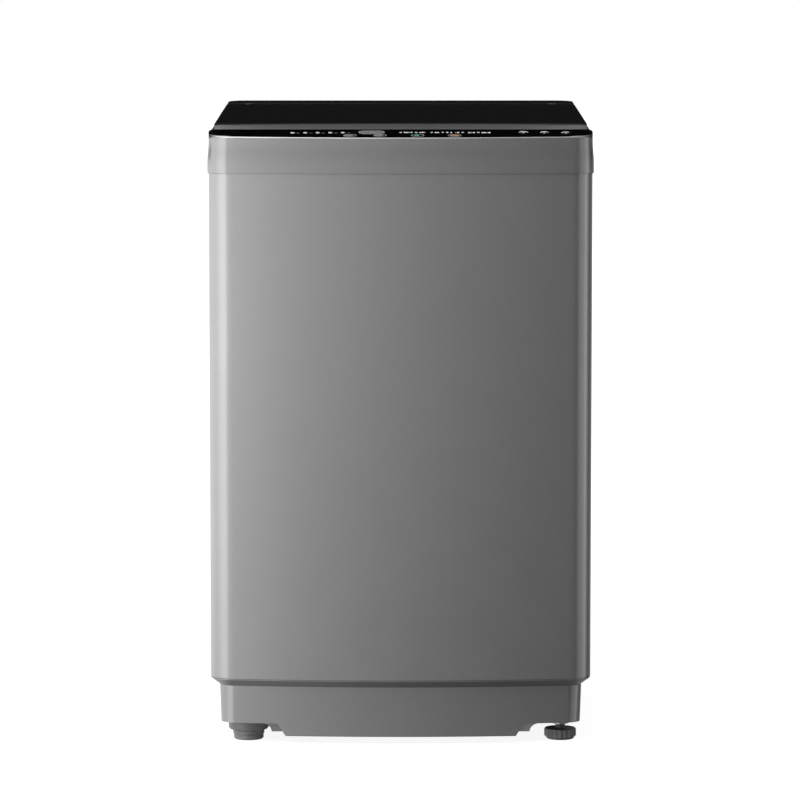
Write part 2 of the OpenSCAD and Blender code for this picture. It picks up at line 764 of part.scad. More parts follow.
module motor() {
    color("lightgray") translate([motor_xy[0], motor_xy[1], 0]) {
        translate([0, 0, 92]) cylinder(r = 52, h = 10);
        translate([0, 0, 102]) cylinder(r = 60, h = 50);
        translate([0, 0, 152]) cylinder(r = 52, h = 12);
        for (a = [0, 120, 240]) rotate([0, 0, a - 45]) translate([44, 0, 160]) cylinder(r = 9, h = 8);
    }
}

module motor_pulley() {
    color("silver") translate([motor_xy[0], motor_xy[1], 0]) {
        grooved_wheel(motor_pulley_r, 0);
        translate([0, 0, pulley_z + pulley_h]) cylinder(r = 6, h = 92 - pulley_z - pulley_h - 0.3);
    }
}

module grooved_wheel(r, bore) {
    z = pulley_z;
    difference() {
        rotate_extrude() polygon([[0, z], [r, z], [r, z + 2], [r - groove_d, z + 4], [r - groove_d, z + 12],
            [r, z + 14], [r, z + pulley_h], [0, z + pulley_h]]);
        if (bore > 0) translate([0, 0, z - 1]) cylinder(r = bore, h = pulley_h + 2);
    }
}

module clutch_pulley() {
    color("silver") difference() {
        union() {
            grooved_wheel(pulley_r, 0);
            translate([0, 0, pulley_z + 10]) cylinder(r = 18, h = 22);
        }
        translate([0, 0, pulley_z - 1]) ring(58, 24, 0, 7);
        translate([0, 0, pulley_z + pulley_h - 6]) ring(58, 24, 0, 7);
        for (a = [0:60:300]) rotate([0, 0, a]) translate([41, 0, 50]) cylinder(r = 9, h = 40);
        translate([0, 0, 50]) cylinder(r = input_r, h = 60);
    }
}

module input_shaft() {
    color("gray") {
        translate([0, 0, 50]) cylinder(r = input_r, h = 78);
        difference() {
            translate([0, 0, 54]) cylinder(r = 11, h = 8, $fn = 6);
            translate([0, 0, 50]) cylinder(r = input_r, h = 20);
        }
    }
}

module drive_belt() {
    far = motor_xy;
    color("black") translate([0, 0, pulley_z + 4.5]) difference() {
        linear_extrude(7) hull() {
            circle(r = pulley_r - 2);
            translate(far) circle(r = motor_pulley_r - 2);
        }
        translate([0, 0, -1]) linear_extrude(9) hull() {
            circle(r = pulley_r - groove_d + 0.6);
            translate(far) circle(r = motor_pulley_r - groove_d + 0.6);
        }
    }
}

module drain_valve() {
    color("white") difference() {
        union() {
            translate([valve_x, 0, 126]) cylinder(r = 24, h = 60);
            rod_along_y(valve_x, rod_z, 19, -34, 0);
            rod_along_y(valve_x, 142, 15, 0, 48);
        }
        translate([valve_x, 0, 132]) cylinder(r = 17, h = 60);
        rod_along_y(valve_x, rod_z, 15, -31, 0);
        rod_along_y(valve_x, rod_z, 4.6, -40, 0);
        rod_along_y(valve_x, 144, 10, 0, 60);
    }
}

module drain_actuator() {
    color("dimgray") difference() {
        box([108, -140, 130], [186, -84, support_z]);
        box([valve_x - 9, -110, rod_z - 7], [valve_x + 9, -80, rod_z + 7]);
    }
}

module pull_rod() {
    pin_y = lever_pivot[1];
    color("orange") {
        rod_along_y(valve_x, rod_z, 4, -88, -12);
        rod_along_y(valve_x, rod_z, 13, -14, -6);
        box([rod_x - 4, pin_y - 4, rod_z - 3], [valve_x, pin_y + 4, rod_z + 3]);
        translate([rod_x, pin_y, lever_z - 2]) cylinder(r = 3, h = rod_z - lever_z + 2);
    }
}

module brake_lever() {
    px = lever_pivot[0];
    py = lever_pivot[1];
    color("gray") difference() {
        union() {
            translate([px, py, lever_z]) cylinder(r = 10, h = 6);
            box([px, py - 7, lever_z], [rod_x + 8, py + 7, lever_z + 6]);
            translate([px, py, lever_z]) rotate([0, 0, 148]) box([0, -5, 0], [46, 5, 6]);
        }
        translate([px, py, lever_z - 1]) cylinder(r = 4.06, h = 8);
        box([rod_x - 6, py - 3.6, lever_z - 1], [rod_x + 5, py + 3.6, lever_z + 7]);
    }
}

module shaft_seal() {
    color("black") ring(29.95, spin_r + 0.1, tub_bottom_z - 2.5, tub_bottom_z + 7);
}

module tub_fasteners() {
    color("gray") {
        four_corners() translate([215, 0, 0]) {
            translate([0, 0, support_z - 4]) cylinder(r = 6, h = 4, $fn = 6);
            translate([0, 0, support_z]) cylinder(r = 3, h = 12);
        }
        for (a = [0:90:270]) rotate([0, 0, a]) translate([68, 0, 0]) {
            translate([0, 0, 162]) cylinder(r = 5.5, h = 4, $fn = 6);
            translate([0, 0, 166]) cylinder(r = 3, h = 11);
        }
        for (a = [0, 120, 240]) translate([motor_xy[0], motor_xy[1], 168]) rotate([0, 0, a - 45])
            translate([44, 0, 0]) cylinder(r = 10, h = support_z - 168);
    }
}

module drain_outlet() {
    color("dimgray") {
        difference() {
            union() {
                rod_along_y(150, 60, 16, 238, 251);
                rod_along_y(150, 60, 15.2, 249, base_back - 3);
                rod_along_y(150, 60, 16, base_back - 4, 279);
                rod_along_y(150, 60, 21, 250, base_back - 8);
            }
            rod_along_y(150, 60, 13, 244, 280);
        }
    }
}

// The corrugated hose between the moving valve and the fixed outlet
hose_route = [[165, 48, 142], [165, 70, 142], [164, 95, 138], [162, 120, 127], [159, 145, 110], [156, 168, 91],
    [153, 190, 74], [151, 212, 63], [150, 226, 60], [150, 238, 60]];

function unit(v) = v / norm(v);
function hose_ring(i, r, n) =
    let (m = len(hose_route) - 1, p = hose_route[i],
         d = i == 0 || i == m ? [0, 1, 0] : unit(hose_route[i + 1] - hose_route[i - 1]),
         side = unit(cross(d, [0, 0, 1])), up = cross(side, d))
    [for (k = [0:n - 1]) let (a = 360 * k / n) p + r * cos(a) * side + r * sin(a) * up];

module drain_hose() {
    color("gray") loft([for (i = [0:len(hose_route) - 1]) hose_ring(i, 14.5, 12)]);
}

// ---------- basket ----------

module basket_wall() {
    color("silver") ring(basket_r, basket_r - wall_t, 224, 742);
}

module basket_base() {
    r = basket_r - wall_t - 0.05;
    lip = pulsator_r + 3;
    color("lightgray") {
        rotate_extrude() polygon([[36, 222], [lip + 3, 222], [lip + 3, 242.5], [lip + 5.8, 247], [r - 24.6, 257],
            [r - 4.4, 265], [r - 3, 265], [r - 3, 222], [r, 222], [r, 268], [r - 5, 268], [r - 26, 260],
            [lip + 3, 250], [lip, 244], [lip, 226], [36, 226]]);
        for (a = [15:30:345]) rotate([0, 0, a]) box([lip + 2, -1.5, 222], [r - 2, 1.5, 248]);
    }
}

module balance_ring() {
    r = basket_r - wall_t - 0.05;
    color("whitesmoke") rotate_extrude() polygon([[194, 720], [200, 712], [r, 712], [r, 742.2], [basket_r + 2.5, 742.2],
        [basket_r + 2.5, 762], [basket_r - 3, 768], [200, 768], [194, 760]]);
}

module basket_flange() {
    color("darkgray") difference() {
        union() {
            translate([0, 0, 203]) cylinder(r = 34, h = 18.9);
            for (a = [90:120:330]) rotate([0, 0, a]) box([0, -16, 211], [206, 16, 221.9]);
            ring(212, 196, 215, 221.9);
        }
        translate([0, 0, 190]) cylinder(r = spin_r, h = 60);
    }
}

module spin_shaft() {
    color("silver") ring(spin_r, wash_r + 0.06, 120, 226);
}

module lint_filters() {
    color("aliceblue") for (a = [0, 180]) rotate([0, 0, a]) {
        difference() {
            box([203, -42, 380], [216.5, 42, 560]);
            box([200, -34, 396], [213, 34, 540]);
        }
        for (y = [-22, 0, 22]) box([205, y - 1.5, 395], [213.5, y + 1.5, 541]);
    }
}

// ---------- pulsator ----------

module pulsator() {
    r = pulsator_r;
    color("gainsboro") difference() {
        union() {
            rotate_extrude() polygon([[0, 232], [24, 232], [24, 235], [r - 3, 235], [r, 239], [r - 2, 244],
                [120, 244], [70, 249], [40, 258], [26, 262], [0, 262]]);
            for (a = [0:60:300]) rotate([0, 0, a]) rotate([90, 0, 0]) translate([0, 0, -6]) linear_extrude(12)
                polygon([[20, 250], [20, 260], [55, 268], [95, 266], [135, 258], [165, 246], [165, 240], [20, 240]]);
        }
        rotate_extrude() polygon([[29, 230], [r - 7, 230], [r - 7, 240], [118, 240], [68, 245], [42, 253], [29, 256]]);
        translate([0, 0, 230]) cylinder(r = wash_r, h = 26);
        translate([0, 0, 230]) cylinder(r = 3.2, h = 60);
    }
    for (a = [30:60:330]) color("gainsboro") rotate([0, 0, a]) box([28, -1.2, 235], [r - 8, 1.2, 242]);
}

module pulsator_screw() {
    color("silver") {
        rotate_extrude() polygon([[0, 262], [17, 262], [17, 265], [13, 269], [0, 270.5]]);
        translate([0, 0, 240]) cylinder(r = 3, h = 22);
    }
}

module wash_shaft() {
    color("silver") difference() {
        translate([0, 0, 134]) cylinder(r = wash_r, h = 122);
        translate([0, 0, 236]) cylinder(r = 3.05, h = 30);
    }
}

cabinet_shell();
rear_panel();
base_frame();
front_left_foot();
rear_feet();
top_frame();
rear_deck();
control_panel();
display_window();
indicator_lenses();
control_board();
hinge_pins();
detergent_housing();
inlet_valve();
inlet_hose();
level_switch();
lid_switch();
cord_gland();
capacitor();
hanger_brackets();
suspension_rods();
suspension_springs();
drain_outlet();
drain_hose();
cabinet_screws();
outer_tub();
tub_cover();
tub_support();
clutch_housing();
spin_bearings();
motor();
drain_valve();
drain_actuator();
shaft_seal();
spring_cups();
drive_belt();
tub_fasteners();
basket_wall();
basket_base();
balance_ring();
basket_flange();
spin_shaft();
lint_filters();
pulsator();
pulsator_screw();
wash_shaft();
clutch_pulley();
input_shaft();
motor_pulley();
brake_lever();
pull_rod();
level_foot_pad();
level_foot_screw();
detergent_drawer();
lid_glass();
lid_frame();
lid_handle();
power_key();
start_key();
program_key();
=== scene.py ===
"""Top load washing machine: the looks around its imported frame."""

import math
from math import asin, atan, cos, pi, radians, sin, sqrt, tan

import bmesh
import bpy
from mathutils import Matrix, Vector


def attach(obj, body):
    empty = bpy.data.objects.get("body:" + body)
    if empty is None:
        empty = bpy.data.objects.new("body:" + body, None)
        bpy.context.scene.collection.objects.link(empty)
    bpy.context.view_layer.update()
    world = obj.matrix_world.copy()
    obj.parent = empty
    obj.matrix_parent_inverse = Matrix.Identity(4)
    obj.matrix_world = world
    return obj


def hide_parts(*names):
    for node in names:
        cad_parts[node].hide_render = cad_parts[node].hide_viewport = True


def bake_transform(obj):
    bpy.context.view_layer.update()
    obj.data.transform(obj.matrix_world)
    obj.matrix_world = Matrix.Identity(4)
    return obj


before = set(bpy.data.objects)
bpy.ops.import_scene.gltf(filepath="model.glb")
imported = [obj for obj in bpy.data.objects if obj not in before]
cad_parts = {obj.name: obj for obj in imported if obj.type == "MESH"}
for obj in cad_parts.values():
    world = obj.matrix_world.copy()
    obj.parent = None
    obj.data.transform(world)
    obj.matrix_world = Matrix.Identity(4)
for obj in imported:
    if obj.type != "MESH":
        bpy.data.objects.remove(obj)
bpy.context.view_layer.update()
scene = bpy.context.scene
MM = 0.001                          # shapes are in millimetres, the scene is in metres

# ---------------------------------------------------------------- camera: a long lens, tipped down a little

CAM_TILT = 5.097                    # degrees below the horizon

cam = bpy.data.objects.new("camera", bpy.data.cameras.new("camera"))
scene.collection.objects.link(cam)
cam.location = (-0.0009, -5.653, 0.9761)
cam.rotation_euler = (radians(90 - CAM_TILT), 0, 0)
cam.data.sensor_width = 36
cam.data.lens = 171.46
cam.data.clip_end = 100
scene.camera = cam
scene.view_settings.view_transform = "Standard"
scene.view_settings.look = "None"

# ---------------------------------------------------------------- materials

COLOUR_A, COLOUR_B, COLOUR_OUT = 6, 7, 2        # the colour sockets of a Mix node

# Noise scales of the fine patterns, per metre
FLAKES, ORANGE_PEEL = 1400, 260
DUST, SMEARS = 1800, 14
BRUSHING, SPANGLE = 220, 70
PRINT_DOTS, PRINT_GLOSS = 2500, 90


class Nodes:
    """A thin wrapper that keeps node trees short to write."""

    def __init__(self, name):
        self.mat = bpy.data.materials.new(name)
        self.mat.use_nodes = True
        self.tree = self.mat.node_tree
        self.bsdf = self.tree.nodes["Principled BSDF"]
        self.coord = self.add("ShaderNodeTexCoord").outputs["Object"]

    def add(self, kind, **values):
        n = self.tree.nodes.new(kind)
        for k, v in values.items():
            if hasattr(n, k) and k not in n.inputs:
                setattr(n, k, v)
            else:
                n.inputs[k.replace("_", " ") if k not in n.inputs else k].default_value = v
        return n

    def link(self, a, b):
        self.tree.links.new(a, b)

    def noise(self, scale, detail=2.0, rough=0.5, stretch=None):
        """Noise in the object's own space; stretch draws it out along an axis."""
        n = self.add("ShaderNodeTexNoise")
        n.inputs["Scale"].default_value = scale
        n.inputs["Detail"].default_value = detail
        n.inputs["Roughness"].default_value = rough
        src = self.coord
        if stretch:
            m = self.add("ShaderNodeMapping")
            m.inputs["Scale"].default_value = stretch
            self.link(src, m.inputs["Vector"])
            src = m.outputs["Vector"]
        self.link(src, n.inputs["Vector"])
        return n.outputs["Fac"]

    def ramp(self, fac, stops):
        """Colour by value, from (position, colour) stops."""
        r = self.add("ShaderNodeValToRGB")
        el = r.color_ramp.elements
        while len(el) < len(stops):
            el.new(0.5)
        for e, (pos, col) in zip(el, stops):
            e.position = pos
            e.color = tuple(col) + (1,) if len(col) == 3 else col
        self.link(fac, r.inputs["Fac"])
        return r.outputs["Color"]

    def remap(self, fac, lo, hi, a=0.3, b=0.7):
        """The value that runs from lo to hi as fac runs from a to b."""
        m = self.add("ShaderNodeMapRange")
        m.inputs["From Min"].default_value = a
        m.inputs["From Max"].default_value = b
        m.inputs["To Min"].default_value = lo
        m.inputs["To Max"].default_value = hi
        self.link(fac, m.inputs["Value"])
        return m.outputs["Result"]

    def bump(self, height, strength, distance):
        b = self.add("ShaderNodeBump")
        b.inputs["Strength"].default_value = strength
        b.inputs["Distance"].default_value = distance
        self.link(height, b.inputs["Height"])
        return b.outputs["Normal"]

    def fade_edge_on(self, spec, start=0.80, end=0.90, power=6):
        """Take the gloss away where the surface is seen edge-on, or a bright surround turns it white.

        What is reflected hardly changes until the level is near zero, so the level falls as a power.
        """
        away = self.add("ShaderNodeLayerWeight", Blend=0.5).outputs["Facing"]
        level = self.add("ShaderNodeMath", operation="POWER")
        self.link(self.remap(away, spec ** (1 / power), 0.0, start, end), level.inputs[0])
        level.inputs[1].default_value = power
        self.link(level.outputs[0], self.bsdf.inputs["Specular IOR Level"])

    def mix(self, fac, a, b, mode="MIX"):
        m = self.add("ShaderNodeMix")
        m.data_type = "RGBA"
        m.blend_type = mode
        if isinstance(fac, float):
            m.inputs["Factor"].default_value = fac
        else:
            self.link(fac, m.inputs["Factor"])
        for s, v in ((COLOUR_A, a), (COLOUR_B, b)):
            if isinstance(v, tuple):
                m.inputs[s].default_value = v + (1,) if len(v) == 3 else v
            else:
                self.link(v, m.inputs[s])
        return m.outputs[COLOUR_OUT]


def shade(col, k):
    """A colour made k times as bright."""
    return tuple(min(1.0, c * k) for c in col)


def surface(name, col, rough=0.5, metal=0.0, var=0.05, patch=9.0, rough_var=0.06, grain=900.0,
            grain_h=0.00003, grain_s=0.25, coat=0.0, coat_rough=0.1, spec=0.5, wear=0.0, stretch=None,
            fine=0.03, fade=False):
    """Plastic, metal or rubber: broad and fine colour change, uneven roughness, fine grain."""
    k = Nodes(name)
    broad = k.ramp(k.noise(patch, 3), [(0.3, shade(col, 1 - var)), (0.7, shade(col, 1 + var))])
    speck = k.ramp(k.noise(grain * 0.6, 1, stretch=stretch), [(0.35, (1 - fine * 4,) * 3), (0.65, (1, 1, 1))])
    out = k.mix(0.5, broad, speck, "MULTIPLY")
    if wear:
        g = k.add("ShaderNodeNewGeometry").outputs["Pointiness"]
        edge = k.remap(g, 0.0, 1.0, 0.52, 0.60)
        out = k.mix(edge, out, shade(col, 1 + wear))
    k.link(out, k.bsdf.inputs["Base Color"])
    k.link(k.remap(k.noise(patch * 2.5, 4), rough - rough_var, rough + rough_var), k.bsdf.inputs["Roughness"])
    k.link(k.bump(k.noise(grain, 2, stretch=stretch), grain_s, grain_h), k.bsdf.inputs["Normal"])
    k.bsdf.inputs["Metallic"].default_value = metal
    k.bsdf.inputs["Coat Weight"].default_value = coat
    k.bsdf.inputs["Coat Roughness"].default_value = coat_rough
    k.bsdf.inputs["Specular IOR Level"].default_value = spec
    if fade:
        k.fade_edge_on(spec)
    return k.mat


def flake_paint(name, col, metal, rough, coat, patch=3.0):
    """Silver paint: flakes that glitter faintly under a clear coat with a little orange peel."""
    k = Nodes(name)
    v = k.add("ShaderNodeTexVoronoi")
    v.inputs["Scale"].default_value = FLAKES
    k.link(k.coord, v.inputs["Vector"])
    flake = k.ramp(v.outputs["Color"], [(0.1, shade(col, 0.93)), (0.9, shade(col, 1.05))])
    broad = k.ramp(k.noise(patch, 2), [(0.3, (0.975,) * 3), (0.7, (1, 1, 1))])
    k.link(k.mix(1.0, flake, broad, "MULTIPLY"), k.bsdf.inputs["Base Color"])
    k.link(k.remap(k.noise(patch * 5, 4), rough - 0.02, rough + 0.02), k.bsdf.inputs["Roughness"])
    k.link(k.bump(k.noise(ORANGE_PEEL, 2), 0.06, 0.00003), k.bsdf.inputs["Normal"])
    k.bsdf.inputs["Metallic"].default_value = metal
    k.bsdf.inputs["Coat Weight"].default_value = coat
    k.bsdf.inputs["Coat Roughness"].default_value = 0.06
    return k.mat


def glossy_black(name, col, rough, spec, dust=0.02):
    """Black glass or piano black: faint smears in the gloss and a trace of dust."""
    k = Nodes(name)
    specks = k.ramp(k.noise(DUST, 1), [(0.72, col), (0.80, shade(col, 1 + dust * 60))])
    k.link(specks, k.bsdf.inputs["Base Color"])
    k.link(k.remap(k.noise(SMEARS, 5, 0.6, (1, 3, 1)), rough, rough + 0.05), k.bsdf.inputs["Roughness"])
    k.fade_edge_on(spec)
    return k.mat


def brushed(name, col, rough, axis_stretch, metal=1.0, spangle=0.0):
    """Rolled or brushed metal; spangle adds the large crystals of zinc coating."""
    k = Nodes(name)
    line = k.noise(BRUSHING, 4, 0.6, axis_stretch)
    out = k.ramp(line, [(0.3, shade(col, 0.88)), (0.7, shade(col, 1.06))])
    if spangle:
        v = k.add("ShaderNodeTexVoronoi")
        v.inputs["Scale"].default_value = SPANGLE
        k.link(k.coord, v.inputs["Vector"])
        crystal = k.ramp(v.outputs["Color"], [(0.0, shade(col, 0.8)), (1.0, shade(col, 1.15))])
        out = k.mix(spangle, out, crystal)
    k.link(out, k.bsdf.inputs["Base Color"])
    k.link(k.remap(line, rough - 0.07, rough + 0.07), k.bsdf.inputs["Roughness"])
    k.link(k.bump(line, 0.15, 0.00004), k.bsdf.inputs["Normal"])
    k.bsdf.inputs["Metallic"].default_value = metal
    return k.mat


def print_ink(name, col, rough=0.5):
    """Screen print, with a faint dot pattern and an uneven sheen."""
    k = Nodes(name)
    k.link(k.ramp(k.noise(PRINT_DOTS, 1), [(0.3, shade(col, 0.85)), (0.7, col)]), k.bsdf.inputs["Base Color"])
    k.link(k.remap(k.noise(PRINT_GLOSS, 2), rough - 0.1, rough + 0.1), k.bsdf.inputs["Roughness"])
    return k.mat


SILVER = (0.30, 0.30, 0.302)
m_paint = flake_paint("silver_paint", SILVER, 0.85, 0.30, 0.5)
m_frame = flake_paint("silver_plastic", shade(SILVER, 0.93), 0.82, 0.30, 0.42, 5.0)
m_base = flake_paint("base_plastic", shade(SILVER, 0.81), 0.80, 0.33, 0.35, 5.0)
m_grip = flake_paint("grip_silver", (0.037, 0.037, 0.038), 0.12, 0.42, 0.08, 7.0)
m_glass = glossy_black("black_glass", (0.0052, 0.0052, 0.0054), 0.06, 0.22)
m_panel = glossy_black("panel_black", (0.0012, 0.0012, 0.0014), 0.09, 0.10, 0.0)
m_deck = glossy_black("deck_black", (0.006, 0.006, 0.0065), 0.14, 0.12)
m_blackp = surface("black_plastic", (0.008, 0.008, 0.0085), 0.5, var=0.15, spec=0.25, wear=0.5, grain_s=0.4,
                   fade=True)
m_zinc = brushed("zinc_sheet", (0.52, 0.53, 0.54), 0.38, (1, 1, 1), spangle=0.5)
m_steel = brushed("bright_steel", (0.50, 0.50, 0.51), 0.3, (1, 1, 12))
m_stainless = brushed("stainless", (0.58, 0.58, 0.57), 0.24, (1, 1, 30))
m_castal = surface("cast_aluminium", (0.50, 0.51, 0.52), 0.42, 1.0, var=0.07, patch=20, grain=420,
                   grain_h=0.00012, grain_s=0.5)
m_white = surface("white_plastic", (0.74, 0.74, 0.71), 0.42, var=0.03, wear=0.06)
m_pale = surface("pale_grey_plastic", (0.62, 0.63, 0.635), 0.33, var=0.03, coat=0.15)
m_drawer = surface("drawer_plastic", (0.33, 0.42, 0.52), 0.3, var=0.04, coat=0.2)
m_hose = surface("grey_rubber", (0.10, 0.10, 0.105), 0.6, var=0.12, spec=0.3)
m_rubber = surface("black_rubber", (0.014, 0.014, 0.014), 0.7, var=0.2, spec=0.3, grain=600, grain_s=0.5)
m_foot = surface("foot_plastic", (0.085, 0.085, 0.088), 0.42, var=0.12, wear=0.7, grain_s=0.4)
m_pad = surface("fixed_foot_plastic", (0.25, 0.25, 0.253), 0.42, var=0.1, wear=0.5, grain_s=0.4)
m_actuator = surface("actuator_plastic", (0.03, 0.03, 0.034), 0.5, var=0.12, wear=0.6)
m_cap = surface("capacitor_case", (0.66, 0.66, 0.62), 0.4, var=0.04)
m_motor = surface("motor_paint", (0.22, 0.23, 0.24), 0.45, 0.6, var=0.08, grain=500, grain_s=0.4, wear=0.4)
m_board = surface("circuit_board", (0.015, 0.09, 0.035), 0.35, var=0.2, patch=120, coat=0.3)
m_window = glossy_black("display_tint", (0.002, 0.002, 0.0022), 0.09, 0.10, 0.0)
m_face = print_ink("display_face", (0.085, 0.088, 0.09), 0.4)
m_lens = surface("clear_lens", (0.55, 0.56, 0.55), 0.2, var=0.03)
m_key = surface("key_plastic", (0.006, 0.006, 0.0065), 0.3, spec=0.2, var=0.1)
m_ink = print_ink("white_print", (0.62, 0.62, 0.62))
m_ink2 = print_ink("grey_print", (0.26, 0.26, 0.26))
m_ink3 = print_ink("dim_print", (0.13, 0.13, 0.13))
m_green = print_ink("green_print", (0.05, 0.27, 0.25))
m_orange = print_ink("orange_print", (0.26, 0.12, 0.06))

# ---------------------------------------------------------------- mesh helpers


def new_mesh(name, verts, faces, mat, body, hides=(), smooth=40):
    """A piece from points in millimetres, on its body and slot, in place of the nodes it hides."""
    me = bpy.data.meshes.new(name)
    me.from_pydata([tuple(c * MM for c in v) for v in verts], [], faces)
    bm = bmesh.new()
    bm.from_mesh(me)
    bmesh.ops.remove_doubles(bm, verts=bm.verts, dist=1e-6)
    bmesh.ops.recalc_face_normals(bm, faces=bm.faces)
    bm.to_mesh(me)
    bm.free()
    o = bpy.data.objects.new(name, me)
    scene.collection.objects.link(o)
    me.materials.append(mat)
    set_smooth(o, smooth)
    if body:
        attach(o, body)
    if hides:
        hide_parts(*hides)
    return o


def set_smooth(o, angle):
    """Smooth shading, with the edges sharper than the angle left hard."""
    me = o.data
    me.polygons.foreach_set("use_smooth", [True] * len(me.polygons))
    bm = bmesh.new()
    bm.from_mesh(me)
    lim = radians(angle)
    for e in bm.edges:
        e.smooth = not (len(e.link_faces) == 2 and e.calc_face_angle(0) > lim)
    bm.to_mesh(me)
    bm.free()


def modifier(o, kind, **values):
    m = o.modifiers.new(kind.lower(), kind)
    for k, v in values.items():
        setattr(m, k, v)
    return m


def dress(node, mat, bevel=0.6, angle=32, segments=2):
    """A CAD node as it is, with its material, softened edges and even shading."""
    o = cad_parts[node]
    for s in o.material_slots:
        s.material = mat
    o.data.polygons.foreach_set("use_smooth", [True] * len(o.data.polygons))
    modifier(o, "WELD", merge_threshold=1e-5)
    if bevel:
        modifier(o, "BEVEL", width=bevel * MM, segments=segments, limit_method="ANGLE",
                 angle_limit=radians(angle), use_clamp_overlap=True)
    modifier(o, "WEIGHTED_NORMAL", keep_sharp=False, weight=60)
    return o


def loops_mesh(name, loops, mat, body, hides=(), closed=True, caps=True, wrap=False, smooth=40):
    """Skin over loops of equal length. wrap joins the last loop to the first, closed each loop's ends."""
    n = len(loops[0])
    verts = [p for l in loops for p in l]
    faces = []
    m = len(loops)
    for i in range(m if wrap else m - 1):
        a, b = i * n, ((i + 1) % m) * n
        for j in range(n if closed else n - 1):
            k = (j + 1) % n
            faces.append((a + j, a + k, b + k, b + j))
    if caps and not wrap:
        faces.append(tuple(range(n - 1, -1, -1)))
        faces.append(tuple((m - 1) * n + j for j in range(n)))
    if wrap and not closed:
        faces.append(tuple(i * n for i in range(m)))
        faces.append(tuple(i * n + n - 1 for i in range(m))[::-1])
    return new_mesh(name, verts, faces, mat, body, hides, smooth)


def fillet(points, n=5):
    """Points (x, y, radius) to a polyline with round corners."""
    out = []
    m = len(points)
    for i, (x, y, r) in enumerate(points):
        if r <= 0:
            out.append((x, y))
            continue
        p, a, b = Vector((x, y)), Vector(points[i - 1][:2]), Vector(points[(i + 1) % m][:2])
        u, v = (a - p).normalized(), (b - p).normalized()
        half = u.angle(v) / 2
        d = min(r / tan(half), (a - p).length * 0.49, (b - p).length * 0.49)
        rr = d * tan(half)
        c = p + (u + v).normalized() * (rr / sin(half))
        s, e = p + u * d - c, p + v * d - c
        a0 = math.atan2(s.y, s.x)
        da = (math.atan2(e.y, e.x) - a0 + pi) % (2 * pi) - pi
        out += [(c.x + rr * cos(a0 + da * k / n), c.y + rr * sin(a0 + da * k / n)) for k in range(n + 1)]
    return out


def arc(cx, cy, r, a0, a1, n):
    """Points on a circle; the angles are in degrees from the front, turning to the right."""
    return [(cx + r * sin(radians(a0 + (a1 - a0) * i / n)), cy - r * cos(radians(a0 + (a1 - a0) * i / n)))
            for i in range(n + 1)]


BOW = 1725.0                                    # radius of the bowed front
CAB = (546.0, -278.0, 277.0, 32.0, 12.0)        # cabinet: width, front, back, radii of front and back corners
CAB_LOW, CAB_HIGH, SHEET, FLANGE = 94.0, 832.0, 0.7, 9.0
CAB_OPENING = 206.0                             # half the width of the opening behind


def plan(w, yf, yb, rf, rb, inset=0.0, bow=72, corner=14, back=8):
    """The body's outline: bowed front, two front corners, straight sides and two back corners."""
    w, yf, yb, rf, rb, r = w - 2 * inset, yf + inset, yb - inset, rf - inset, rb - inset, BOW - inset
    cx, yc = w / 2 - rf, yf + r
    cy = yc - sqrt((r - rf) ** 2 - cx * cx)
    t = math.degrees(asin(cx / (r - rf)))
    left, right = arc(-cx, cy, rf, -90, -t, corner), arc(cx, cy, rf, t, 90, corner)
    bx, by = w / 2 - rb, yb - rb
    return left[:-1] + arc(0, yf + r, r, -t, t, bow) + right[1:] + arc(bx, by, rb, 90, 180, back) \
        + arc(-bx, by, rb, 180, 270, back)


def rrect(x0, x1, y0, y1, rf, rb, inset=0.0, n=8):
    """A rectangle with round corners, rf at the front and rb at the back."""
    x0, x1, y0, y1 = x0 + inset, x1 - inset, y0 + inset, y1 - inset
    rf, rb = max(rf - inset, 0.05), max(rb - inset, 0.05)
    return arc(x1 - rf, y0 + rf, rf, 0, 90, n) + arc(x1 - rb, y1 - rb, rb, 90, 180, n) \
        + arc(x0 + rb, y1 - rb, rb, 180, 270, n) + arc(x0 + rf, y0 + rf, rf, 270, 360, n)


def slab(outline, z0, z1, r_top, r_low=0.4, n=5):
    """Loops of a plate with a rounded rim; outline(inset) gives its plan."""
    quarter = [pi / 2 * k / n for k in range(n + 1)]
    prof = [(r_low * (1 - sin(t)), z0 + r_low * (1 - cos(t))) for t in quarter]
    prof += [(r_top * (1 - cos(t)), z1 - r_top * (1 - sin(t))) for t in quarter]
    return [[(x, y, z) for x, y in outline(i)] for i, z in prof]


SLOPE = radians(3.3)                            # of the lid and the deck
TOP_Y, TOP_Z = 272, 914                         # the deck's highest point
LID_TOP = 6                                     # the glass over the hinge axis
HINGE_Y = 201.0
HINGE_Z = TOP_Z - (TOP_Y - HINGE_Y) * tan(SLOPE) - LID_TOP / cos(SLOPE)


def lid_point(x, u, v):
    """From the lid's own frame: u backwards from the hinge axis, v up from the slope."""
    return (x, HINGE_Y + u * cos(SLOPE) - v * sin(SLOPE), HINGE_Z + u * sin(SLOPE) + v * cos(SLOPE))


# ---------------------------------------------------------------- cabinet



def cabinet_skin():
    """The bent sheet, turned in along its lower edge and open behind where the rear panel goes."""
    section = fillet([(FLANGE, CAB_LOW + SHEET, 0), (FLANGE, CAB_LOW, 0), (0, CAB_LOW, 1.6), (0, CAB_HIGH, 0),
                      (SHEET, CAB_HIGH, 0), (SHEET, CAB_LOW + SHEET, 0.9)])
    width, back, r_back = CAB[0], CAB[2], CAB[4]
    behind = [i for i, (x, y) in enumerate(plan(*CAB))
              if y > back - 0.1 and abs(x) <= width / 2 - r_back + 0.5]
    loops = []
    for inset, z in section:
        o = plan(*CAB, inset=inset)
        first, last = [(side * CAB_OPENING, back - inset) for side in (-1, 1)]
        strip = [first] + o[behind[-1]:] + o[:behind[0] + 1] + [last]
        loops.append([(x, y, z) for x, y in strip])
    return loops_mesh("cabinet_skin", loops, m_paint, "cabinet", ["cabinet_shell"],
                      closed=False, wrap=True, smooth=30)


